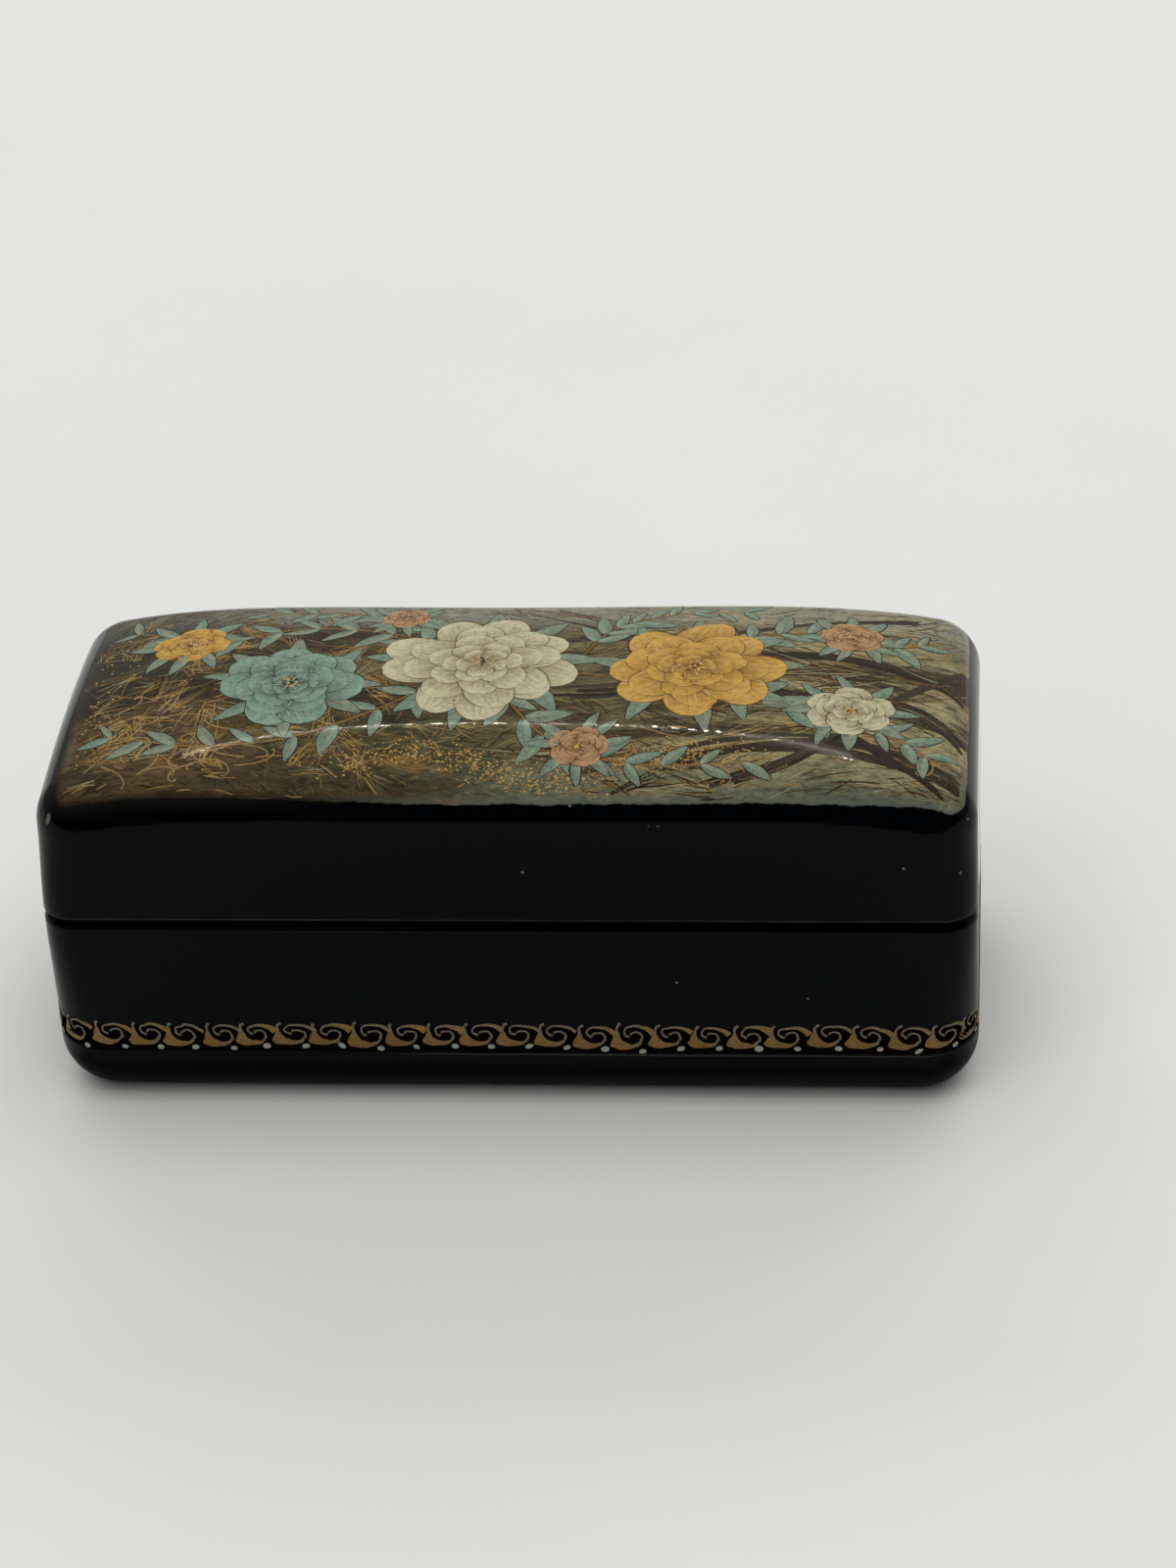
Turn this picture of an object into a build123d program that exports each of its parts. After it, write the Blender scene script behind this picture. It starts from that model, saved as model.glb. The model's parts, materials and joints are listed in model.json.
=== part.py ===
from build123d import *
from math import asin, cos, degrees, radians, sin, tan
import os

os.makedirs("parts", exist_ok=True)

# A hinged trinket box of lacquered papier-mache, in millimetres
# Origin on the table under the middle of the box, X along its length, the hinge towards +Y

# Outside of the closed box
box_length = 69.2
box_depth = 30.0
base_height = 16.1
lid_height = 12.9
corner_radius = 4.0

# Base: a wound wall ring on a bottom board
base_wall_thickness = 2.8
floor_thickness = 2.6
foot_rounding = 3.8
rim_rounding = 1.0

# Collar: a thin ring glued inside the base wall, which centres the lid
collar_thickness = 0.9
collar_stand = 2.0
collar_edge_rounding = 0.3
collar_gap = 0.25

# Lid: a wound wall ring under a domed board
board_thickness = 2.2
dome_drop_along = 2.0
dome_drop_across = 2.0
lid_rounding = 3.6

# Hinge: two leaves let into saw kerfs, five knuckles and a pin
hinge_length = 24.0
knuckle_radius = 0.95
knuckle_end_gap = 0.12
knuckle_side_gap = 0.12
pin_radius = 0.4
pin_running_gap = 0.03
barrel_inset = 0.1
leaf_thickness = 0.36
leaf_reach = 4.2
opening_angle = 100.0
stop_margin_angle = 2.0
knuckle_count = 5

# Least radius left on an upright corner, and how far a cutting shape runs past what it cuts
least_corner_radius = 0.2
overrun = 2.0

# Worked out from the sizes above
box_height = base_height + lid_height
half_length = box_length / 2
half_depth = box_depth / 2
lid_wall_thickness = base_wall_thickness - collar_gap
foot_fillet = min(foot_rounding, corner_radius - least_corner_radius)
lid_fillet = min(lid_rounding, corner_radius - least_corner_radius)
dome_long_radius = (half_length**2 + dome_drop_along**2) / (2 * dome_drop_along)
dome_cross_radius = (half_depth**2 + dome_drop_across**2) / (2 * dome_drop_across)
axis_y = half_depth - barrel_inset - knuckle_radius
hinge_start = -hinge_length / 2
knuckle_pitch = hinge_length / knuckle_count
channel_radius = knuckle_radius + knuckle_side_gap
channel_length = hinge_length + 2 * knuckle_end_gap


def outline(inset, mode=Mode.ADD):
    """Plan of the box, drawn in by the inset all round."""
    corner = max(corner_radius - inset, least_corner_radius)
    RectangleRounded(box_length - 2 * inset, box_depth - 2 * inset, corner, mode=mode)


def above_dome(depth):
    """Everything above a dome that lies this depth under the lid's surface.

    The dome is an arch across the box, swung about a level axis along an arch down its length.
    """
    centre = Vector(0, 0, box_height - dome_long_radius)
    crown = dome_long_radius - depth
    arch_radius = dome_cross_radius - depth
    reach = half_depth + overrun
    springing = crown - arch_radius * (1 - cos(asin(reach / arch_radius)))
    ceiling = dome_long_radius + dome_drop_along + 2 * overrun
    swing = asin((half_length + overrun) / crown)
    start = Plane(origin=centre, x_dir=(0, 1, 0), z_dir=(cos(swing), 0, sin(swing)))
    with BuildPart() as region:
        with BuildSketch(start):
            with BuildLine():
                ThreePointArc((-reach, springing), (0, crown), (reach, springing))
                Polyline((reach, springing), (reach, ceiling), (-reach, ceiling), (-reach, springing))
            make_face()
        revolve(axis=Axis(centre, (0, 1, 0)), revolution_arc=degrees(2 * swing))
    return region.part


def rod(radius, start, length):
    """A rod of this radius along the hinge axis, from start towards +X."""
    with BuildPart() as bar:
        with BuildSketch(Plane.YZ.offset(start)):
            with Locations((axis_y, base_height)):
                Circle(radius)
        extrude(amount=length)
    return bar.part


# Outer blocks: the base with its rounded foot and rim, the lid with its dome
with BuildPart() as base_block:
    with BuildSketch(Plane.XY):
        outline(0)
    extrude(amount=base_height)
    fillet(base_block.faces().sort_by(Axis.Z)[0].edges(), foot_fillet)
    fillet(base_block.faces().sort_by(Axis.Z)[-1].edges(), rim_rounding)

with BuildPart() as lid_block:
    with BuildSketch(Plane.XY.offset(base_height)):
        outline(0)
    extrude(amount=lid_height + overrun)
    add(above_dome(0), mode=Mode.SUBTRACT)
    fillet(lid_block.faces().sort_by(Axis.Z)[-1].edges(), lid_fillet)

# Groove along the back: a bevel on each half, where the open lid comes to rest on the base
with BuildPart() as back_groove:
    groove_depth = half_depth + overrun - axis_y
    groove_rise = groove_depth * tan(radians((opening_angle + stop_margin_angle) / 2))
    with BuildSketch(Plane.YZ):
        with BuildLine():
            Polyline(
                (axis_y, base_height),
                (axis_y + groove_depth, base_height + groove_rise),
                (axis_y + groove_depth, base_height - groove_rise),
                close=True,
            )
        make_face()
    extrude(amount=half_length + overrun, both=True)

# Seat of the hinge: a round channel for the knuckles and a saw kerf for both leaves
with BuildPart() as hinge_seat:
    add(rod(channel_radius, -channel_length / 2, channel_length))
    with BuildSketch(Plane.YZ):
        with Locations((axis_y, base_height)):
            Rectangle(leaf_thickness, 2 * leaf_reach)
    extrude(amount=channel_length / 2, both=True)

with BuildPart() as base_floor:
    add(base_block.part)
    split(bisect_by=Plane.XY.offset(floor_thickness), keep=Keep.BOTTOM)

with BuildPart() as base_wall:
    add(base_block.part)
    split(bisect_by=Plane.XY.offset(floor_thickness), keep=Keep.TOP)
    with BuildSketch(Plane.XY.offset(floor_thickness)):
        outline(base_wall_thickness)
    extrude(amount=base_height, mode=Mode.SUBTRACT)
    add(back_groove.part, mode=Mode.SUBTRACT)
    add(hinge_seat.part, mode=Mode.SUBTRACT)

with BuildPart() as base_collar:
    with BuildSketch(Plane.XY.offset(floor_thickness)):
        outline(base_wall_thickness)
        outline(base_wall_thickness + collar_thickness, mode=Mode.SUBTRACT)
    extrude(amount=base_height + collar_stand - floor_thickness)
    fillet(base_collar.faces().sort_by(Axis.Z)[-1].edges(), collar_edge_rounding)

with BuildPart() as lid_wall:
    add(lid_block.part)
    add(above_dome(board_thickness), mode=Mode.SUBTRACT)
    with BuildSketch(Plane.XY.offset(base_height)):
        outline(lid_wall_thickness)
    extrude(amount=box_height, mode=Mode.SUBTRACT)
    add(back_groove.part, mode=Mode.SUBTRACT)
    add(hinge_seat.part, mode=Mode.SUBTRACT)

with BuildPart() as lid_board:
    add(lid_block.part)
    add(above_dome(board_thickness), mode=Mode.INTERSECT)


def hinge_leaf(own_places, other_places, side):
    """A leaf with its own knuckles, clear of the other leaf's. Side 1 stands up, side -1 hangs down."""
    with BuildPart() as leaf:
        with BuildSketch(Plane.YZ.offset(hinge_start)):
            with Locations((axis_y, base_height + side * leaf_reach / 2)):
                Rectangle(leaf_thickness, leaf_reach)
        extrude(amount=hinge_length)
        for place in other_places:
            start = hinge_start + place * knuckle_pitch - knuckle_end_gap / 2
            add(rod(channel_radius, start, knuckle_pitch + knuckle_end_gap), mode=Mode.SUBTRACT)
        for place in own_places:
            start = hinge_start + place * knuckle_pitch + knuckle_end_gap / 2
            add(rod(knuckle_radius, start, knuckle_pitch - knuckle_end_gap))
        add(rod(pin_radius + pin_running_gap, hinge_start, hinge_length), mode=Mode.SUBTRACT)
    return leaf


# The base carries the first, third and last knuckle, the lid those between
base_places = range(0, knuckle_count, 2)
lid_places = range(1, knuckle_count, 2)
hinge_base_leaf = hinge_leaf(base_places, lid_places, -1)
hinge_lid_leaf = hinge_leaf(lid_places, base_places, 1)

with BuildPart() as hinge_pin:
    add(rod(pin_radius, hinge_start, hinge_length))

pieces = {
    "base_wall": base_wall,
    "base_floor": base_floor,
    "base_collar": base_collar,
    "lid_wall": lid_wall,
    "lid_board": lid_board,
    "hinge_base_leaf": hinge_base_leaf,
    "hinge_lid_leaf": hinge_lid_leaf,
    "hinge_pin": hinge_pin,
}
for name, piece in pieces.items():
    piece.part.label = name
    export_step(piece.part, f"parts/{name}.step")
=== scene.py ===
import json
from math import cos, pi, radians, sin, tan

import bpy
import numpy as np
from mathutils import Matrix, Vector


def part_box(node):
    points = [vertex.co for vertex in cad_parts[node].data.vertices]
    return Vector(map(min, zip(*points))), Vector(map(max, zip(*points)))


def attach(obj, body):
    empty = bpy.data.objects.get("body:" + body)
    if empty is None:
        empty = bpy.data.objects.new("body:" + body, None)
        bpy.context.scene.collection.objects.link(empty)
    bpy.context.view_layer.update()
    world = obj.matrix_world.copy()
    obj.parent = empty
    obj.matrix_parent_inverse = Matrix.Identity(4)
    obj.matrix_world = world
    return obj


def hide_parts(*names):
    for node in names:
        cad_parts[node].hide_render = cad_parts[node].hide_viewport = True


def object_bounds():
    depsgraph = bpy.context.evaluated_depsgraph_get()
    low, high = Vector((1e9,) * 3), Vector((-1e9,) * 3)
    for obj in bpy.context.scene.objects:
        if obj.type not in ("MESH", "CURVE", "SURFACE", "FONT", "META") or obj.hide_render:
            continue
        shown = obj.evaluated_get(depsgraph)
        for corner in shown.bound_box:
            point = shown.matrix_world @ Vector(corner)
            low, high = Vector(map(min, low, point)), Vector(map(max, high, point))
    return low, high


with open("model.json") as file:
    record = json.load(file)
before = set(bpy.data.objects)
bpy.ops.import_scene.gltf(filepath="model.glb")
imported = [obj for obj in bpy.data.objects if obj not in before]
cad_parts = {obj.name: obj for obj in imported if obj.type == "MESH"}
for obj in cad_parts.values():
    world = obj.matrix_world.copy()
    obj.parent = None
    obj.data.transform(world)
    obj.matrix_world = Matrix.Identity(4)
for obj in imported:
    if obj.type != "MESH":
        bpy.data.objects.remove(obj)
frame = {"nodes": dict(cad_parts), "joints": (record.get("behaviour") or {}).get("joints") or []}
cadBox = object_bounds()
mm = 0.001
print("frame loaded, nodes:", len(frame["nodes"]))


# Sizes taken from the frame, in millimetres

def nodeBox(node):
    # The two far corners of a node's box
    low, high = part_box(node)
    return np.array(low) / mm, np.array(high) / mm


skin = 0.03  # the lacquered faces lie this far inside the CAD faces, so painted strokes stay in the box
halfLength = cadBox[1][0] / mm - skin
halfDepth = cadBox[1][1] / mm - skin
crownHeight = cadBox[1][2] / mm - 2 * skin
seamHeight = nodeBox("base_wall")[1][2]
collarLow, collarHigh = nodeBox("base_collar")
baseWall = halfDepth - collarHigh[1]
floorTop = collarLow[2]
hingeY = frame["joints"][0]["pos_m"][1] / mm
barrelRadius = nodeBox("hinge_base_leaf")[1][1] - hingeY
barrelEnd = nodeBox("hinge_pin")[1][0]

boxForm = {
    "seamCorner": 2.75,  # upright corner where lid meets base
    "footRounding": 4.3,
    "rimRounding": 1.0,
    "lidRounding": 3.8,
    "lidEdge": 0.16,
    "lidWall": baseWall - 0.25,
    "lidBoard": 2.2,
    "innerCorner": 1.3,
    "innerEdge": 0.05,
    "dropAlong": 2.78,  # how far the pillow falls towards its ends
    "powerAlong": 4.4,
    "dropAcross": 2.2,
    "flatterEnds": 0.7,  # share by which the cross arch flattens towards the ends
    "grooveAngle": 51.0,
    "hingeGap": 0.12,  # round the barrel and past its ends
    "longSteps": 260,
    "shortSteps": 90,
    "cornerSteps": 22,
    "rimRows": 26,
    "rimCorner": 0.3,  # least corner radius of the rim's inner rings
    "rimPast": 0.02,  # how far the rings run in past the hinge channel
}
channelRadius = barrelRadius + boxForm["hingeGap"]
channelEnd = barrelEnd + boxForm["hingeGap"]


# Outline of the box: one trip round it, from the middle of the front towards +X

# Half of each straight side and the arc of a corner, then how far along the trip each of them ends
straightX, straightY = halfLength - boxForm["footRounding"], halfDepth - boxForm["footRounding"]
arc = pi / 2 * boxForm["footRounding"]
marks = np.cumsum([0, straightX, arc, 2 * straightY, arc, 2 * straightX, arc, 2 * straightY, arc, straightX])
tripLength = marks[-1]


def outlineFrame(trip):
    # Units of the inner rectangle and the outward direction at a share of the trip, linear between marks
    place = np.mod(trip, 1.0) * tripLength
    unitX = np.interp(place, marks, [0, 1, 1, 1, 1, -1, -1, -1, -1, 0])
    unitY = np.interp(place, marks, [-1, -1, -1, 1, 1, 1, 1, -1, -1, -1])
    angle = np.radians(np.interp(place, marks, [-90, -90, 0, 0, 90, 90, 180, 180, 270, 270]))
    return unitX, unitY, np.cos(angle), np.sin(angle)


def outline(trip, inset, corner):
    # Inner rectangle point plus the corner radius times the outward direction
    unitX, unitY, outX, outY = outlineFrame(trip)
    corner = np.maximum(corner, 0.001)
    x = unitX * (halfLength - inset - corner) + corner * outX
    y = unitY * (halfDepth - inset - corner) + corner * outY
    return x, y


def joined(*values):
    # Coordinates side by side in the last place, each carried out to the shape that they share
    return np.stack(np.broadcast_arrays(*values), -1)


def unit(vectors):
    # Each vector over its own length
    return vectors / np.linalg.norm(vectors, axis=-1, keepdims=True)


def even(steps):
    # Even steps from 0 to 1
    return np.linspace(0, 1, steps)


def easeInOut(t):
    # Three times the square less twice the cube, level at both ends
    t = np.clip(t, 0, 1)
    return t * t * (3 - 2 * t)


def baseCorner(z):
    # Corner radius of the base wall, easing from the foot rounding up to the tighter corner at the seam
    foot = boxForm["footRounding"]
    return foot + (boxForm["seamCorner"] - foot) * easeInOut((z - foot) / (seamHeight - foot))


def domeCentre(a, b):
    # Rolling-ball centre under the pillow: crown less a high power of a and a square of b that weakens with a
    f = boxForm
    u, v = a / halfLength, b / halfDepth
    weak = 1 - f["flatterEnds"] * u**2
    fall = f["dropAlong"] * np.abs(u) ** f["powerAlong"]
    z = crownHeight - f["lidRounding"] - fall - f["dropAcross"] * v**2 * weak
    slopeA = -f["dropAlong"] * f["powerAlong"] * np.abs(u) ** (f["powerAlong"] - 1) * np.sign(u) / halfLength
    slopeA = slopeA + f["dropAcross"] * v**2 * 2 * f["flatterEnds"] * u / halfLength
    slopeB = -2 * f["dropAcross"] * v * weak / halfDepth
    return z, slopeA, slopeB


def domePoint(a, b, lift=0.0):
    # Ball centre plus its radius along a direction that tilts with the slope, then on round past the edge
    radius = boxForm["lidRounding"]
    reachA, reachB = halfLength - radius, halfDepth - radius
    centreA, centreB = np.clip(a, -reachA, reachA), np.clip(b, -reachB, reachB)
    z, slopeA, slopeB = domeCentre(centreA, centreB)
    tiltA = np.arctan(-slopeA) + (a - centreA) / radius
    tiltB = np.arctan(-slopeB) + (b - centreB) / radius
    tilt = np.hypot(tiltA, tiltB) + 1e-9
    out = radius + lift
    across = out * np.sin(tilt)
    return joined(centreA + across * tiltA / tilt, centreB + across * tiltB / tilt, z + out * np.cos(tilt))


# Mesh helpers

def ringFaces(rows, columns):
    # Quads from each closed ring to the next, and fans to the two points after the rings that close both ends
    row, column = np.meshgrid(np.arange(rows - 1), np.arange(columns), indexing="ij")
    beside = (column + 1) % columns
    here, there = row * columns, (row + 1) * columns
    quads = np.stack([here + column, here + beside, there + beside, there + column], -1).reshape(-1, 4)
    ring = np.arange(columns)
    turned = (ring + 1) % columns
    lastRing = (rows - 1) * columns
    first = joined(rows * columns, turned, ring)
    last = joined(rows * columns + 1, lastRing + ring, lastRing + turned)
    return quads, np.vstack([first, last])


def putMesh(name, points, quads, triangles, materials, faceMaterials=None, attributes=None, normals=None):
    # Points in millimetres; the face order is turned round if the closed shape comes out inside out
    a, b, c, d = (points[quads[:, k]] for k in range(4))
    volume = np.einsum("ij,ij->i", a, np.cross(b, c)).sum() + np.einsum("ij,ij->i", a, np.cross(c, d)).sum()
    if volume < 0:
        quads, triangles = quads[:, ::-1], triangles[:, ::-1]
    corners = np.concatenate([quads.ravel(), triangles.ravel()])
    counts = np.concatenate([np.full(len(quads), 4), np.full(len(triangles), 3)])
    starts = np.concatenate([[0], np.cumsum(counts)[:-1]])
    mesh = bpy.data.meshes.new(name)
    mesh.vertices.add(len(points))
    mesh.vertices.foreach_set("co", (points * mm).astype(np.float32).ravel())
    mesh.loops.add(len(corners))
    mesh.loops.foreach_set("vertex_index", corners.astype(np.int32))
    mesh.polygons.add(len(counts))
    mesh.polygons.foreach_set("loop_start", starts.astype(np.int32))
    mesh.polygons.foreach_set("loop_total", counts.astype(np.int32))
    for material in materials:
        mesh.materials.append(material)
    if faceMaterials is not None:
        mesh.polygons.foreach_set("material_index", faceMaterials.astype(np.int32))
    mesh.polygons.foreach_set("use_smooth", np.ones(len(counts), bool))
    mesh.update(calc_edges=True)
    for label, values in (attributes or {}).items():
        kind, field = ("FLOAT", "value") if values.ndim == 1 else ("FLOAT_COLOR", "color")
        layer = mesh.attributes.new(label, kind, "POINT")
        layer.data.foreach_set(field, values.astype(np.float32).ravel())
    mesh.validate()
    if normals is not None:
        mesh.normals_split_custom_set_from_vertices(normals.tolist())
    piece = bpy.data.objects.new(name, mesh)
    bpy.context.scene.collection.objects.link(piece)
    return piece


def ringSurface(name, rings, rowMaterials, materials, rowValues=None):
    # Closed rings joined one to the next, with one point closing the first and one the last
    rings = np.array(rings)
    rows, columns = rings.shape[:2]
    points = np.vstack([rings.reshape(-1, 3), rings[0].mean(0), rings[-1].mean(0)])
    ends = [np.full(columns, rowMaterials[k]) for k in (0, -1)]
    faceMaterials = np.concatenate([np.repeat(rowMaterials, columns), *ends])
    attributes = {}
    for label, values in (rowValues or {}).items():
        attributes[label] = np.concatenate([values.ravel(), [values[0].mean(), values[-1].mean()]])
    return putMesh(name, points, *ringFaces(rows, columns), materials, faceMaterials, attributes)


# Node helpers

def colour(red, green, blue):
    # Screen colour in 0 to 255 turned to the linear value that a socket takes
    screen = np.array([red, green, blue]) / 255
    linear = np.where(screen <= 0.04045, screen / 12.92, ((screen + 0.055) / 1.055) ** 2.4)
    return (*linear, 1.0)


def grey(value):
    # The same share of red, green and blue
    return (value, value, value, 1)


def shaded(tint, share):
    # A colour with its light taken down or up to a share
    return (*(share * value for value in tint[:3]), 1)


class Graph:
    # Short calls for the nodes of one material or world; a value from a node is linked, a plain one is set
    def __init__(self, owner):
        owner.use_nodes = True
        self.nodes, self.links = owner.node_tree.nodes, owner.node_tree.links

    def give(self, socket, value):
        if isinstance(value, bpy.types.NodeSocket):
            self.links.new(value, socket)
        else:
            socket.default_value = value

    def fill(self, node, values):
        for key, value in values.items():
            self.give(node.inputs[key], value)

    def add(self, kind, values=None, **settings):
        node = self.nodes.new(kind)
        for key, value in settings.items():
            setattr(node, key, value)
        self.fill(node, values or {})
        return node

    def axes(self, place):
        outputs = self.add("ShaderNodeSeparateXYZ", {"Vector": place}).outputs
        return outputs["X"], outputs["Y"]

    def attribute(self, label, output):
        return self.add("ShaderNodeAttribute", attribute_name=label).outputs[output]

    def noise(self, place, scale, detail, roughness, stretch=None, twist=0.0):
        if stretch:
            place = self.add("ShaderNodeMapping", {"Vector": place, "Scale": stretch}).outputs["Vector"]
        return self.add("ShaderNodeTexNoise", {
            "Vector": place, "Scale": scale, "Detail": detail, "Roughness": roughness, "Distortion": twist,
        }).outputs["Fac"]

    def ramp(self, factor, *stops):
        # Each stop is a place and a colour, or a place and a grey value
        node = self.add("ShaderNodeValToRGB", {"Fac": factor})
        elements = node.color_ramp.elements
        while len(elements) < len(stops):
            elements.new(0.5)
        for element, (place, value) in zip(elements, stops):
            element.position = place
            element.color = value if isinstance(value, tuple) else grey(value)
        return node.outputs["Color"]

    def mix(self, factor, first, second, blend="MIX"):
        node = self.add("ShaderNodeMix", data_type="RGBA", blend_type=blend)
        for name, value in (("Factor", factor), ("A", first), ("B", second)):
            self.give(next(s for s in node.inputs if s.name == name and s.enabled), value)
        return next(s for s in node.outputs if s.enabled)

    def math(self, operation, *values):
        node = self.add("ShaderNodeMath", operation=operation)
        for socket, value in zip(node.inputs, values):
            self.give(socket, value)
        return node.outputs[0]

    def times(self, product, *others):
        for value in others:
            product = self.math("MULTIPLY", product, value)
        return product

    def most(self, largest, *others):
        for value in others:
            largest = self.math("MAXIMUM", largest, value)
        return largest

    def span(self, value, low, high, toLow=0.0, toHigh=1.0, smooth=False):
        # Carries the range from low to high over to another range, in a straight line or an eased one
        return self.add("ShaderNodeMapRange", {
            "Value": value, "From Min": low, "From Max": high, "To Min": toLow, "To Max": toHigh,
        }, interpolation_type="SMOOTHSTEP" if smooth else "LINEAR").outputs["Result"]

    def bump(self, height, depth, strength=1.0, under=None):
        node = self.add("ShaderNodeBump", {"Height": height, "Distance": depth, "Strength": strength})
        if under is not None:
            self.give(node.inputs["Normal"], under)
        return node.outputs["Normal"]


def newMaterial(name):
    # A material with its graph, its shader and the place on the object that its patterns read
    material = bpy.data.materials.new(name)
    graph = Graph(material)
    return material, graph, graph.nodes["Principled BSDF"], graph.add("ShaderNodeTexCoord").outputs["Object"]


# Finishes

lacquerLook = {
    "black": (0.0001, 0.0006, 0.0011, 1.0),
    "index": 1.167,
    "roughness": 0.02,
    "hazeScale": 90.0,
    "dustPerMetre": 260.0,
    "dustShare": 0.7,
    "dustSize": 0.03,
    "dust": colour(104, 103, 96),
    "rippleScale": 420.0,
    "rippleDepth": 0.0000015,
    "brushScale": 5200.0,
    "brushDepth": 0.0000005,
}
redLook = dict(lacquerLook, index=1.33, roughness=0.13)


def coat(graph, shader, place, under, look, painted=None):
    # Clear polished coat over a colour: faint ripple, handling haze in the roughness and a few specks of dust
    cells = graph.add("ShaderNodeTexVoronoi", {"Vector": place, "Scale": look["dustPerMetre"]}).outputs
    speck = graph.times(graph.math("LESS_THAN", cells["Color"], look["dustShare"]),
                        graph.math("LESS_THAN", cells["Distance"], look["dustSize"]))
    haze = graph.noise(place, look["hazeScale"], 5.0, 0.6)
    normal = graph.bump(graph.noise(place, look["rippleScale"], 2.0, 0.4), look["rippleDepth"])
    if painted is not None:
        # Brushwork felt through the coat where the panel is painted
        brushwork = graph.times(graph.noise(place, look["brushScale"], 1.5, 0.5), painted)
        normal = graph.bump(brushwork, look["brushDepth"], under=normal)
    graph.fill(shader, {
        "Base Color": graph.mix(speck, under, look["dust"]),
        "Roughness": graph.span(haze, 0.35, 0.75, look["roughness"] * 0.7, look["roughness"] * 1.9),
        "IOR": look["index"],
        "Normal": normal,
    })


def plainLacquer(name, scale, detail, roughness, stops, look):
    # One colour that drifts in soft clouds under the coat
    material, graph, shader, place = newMaterial(name)
    coat(graph, shader, place, graph.ramp(graph.noise(place, scale, detail, roughness), *stops), look)
    return material


panelLook = {
    "left": -32.15,  # where the painted ground ends, in millimetres over the lid
    "leftSpread": 0.6,  # how much further out the left edge runs at the back
    "right": 33.5,
    "front": -14.35,
    "frontShift": (0.35, -0.12, 0.3),  # further in at the left, the right and the right end
    "back": 13.6,
    "cornerLeft": 0.9,
    "cornerRight": 1.5,
    "cornerBack": 3.4,
    "cornerBackLeft": 2.4,
    "ragged": 0.34,
    "sway": 0.34,  # how far the tones drift, as a share of the length
    "tones": [  # of the ground from left to right
        (0.05, colour(54, 48, 30)), (0.26, colour(68, 62, 39)), (0.42, colour(72, 68, 46)),
        (0.58, colour(112, 103, 72)), (0.70, colour(146, 136, 98)), (0.95, colour(152, 142, 104)),
    ],
    "bristles": [(0.3, 0.35), (0.5, 1.0), (0.7, 1.65)],
    "rimLeft": colour(34, 28, 21),
    "rimRight": colour(92, 98, 86),
    # Painted reflection: soft sheen past the painted edge at the near left
    "sheen": colour(58, 54, 48),
    "sheenShare": 0.16,
}


def panelInset(a, b):
    # Distance inside a rounded rectangle whose front edge sags a little from left to right, as it was painted
    look = panelLook
    inLeft, inRight, inEnd = look["frontShift"]
    front = look["front"] + inLeft * np.clip((-a - 8) / 20, 0, 1) + inRight * np.clip(a / 20, 0, 1)
    front = front + inEnd * np.clip((a - 25) / 6, 0, 1)
    left = look["left"] - look["leftSpread"] * np.clip((b + 4) / 12, 0, 1)
    midA, halfA = (look["right"] + left) / 2, (look["right"] - left) / 2
    midB, halfB = (look["back"] + front) / 2, (look["back"] - front) / 2
    corner = np.where(a < midA, look["cornerLeft"], look["cornerRight"])
    corner = np.where(b > midB, np.where(a < midA, look["cornerBackLeft"], look["cornerBack"]), corner)
    overA, overB = np.abs(a - midA) - halfA + corner, np.abs(b - midB) - halfB + corner
    outside = np.hypot(np.maximum(overA, 0), np.maximum(overB, 0))
    return corner - outside - np.minimum(np.maximum(overA, overB), 0)


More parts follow.
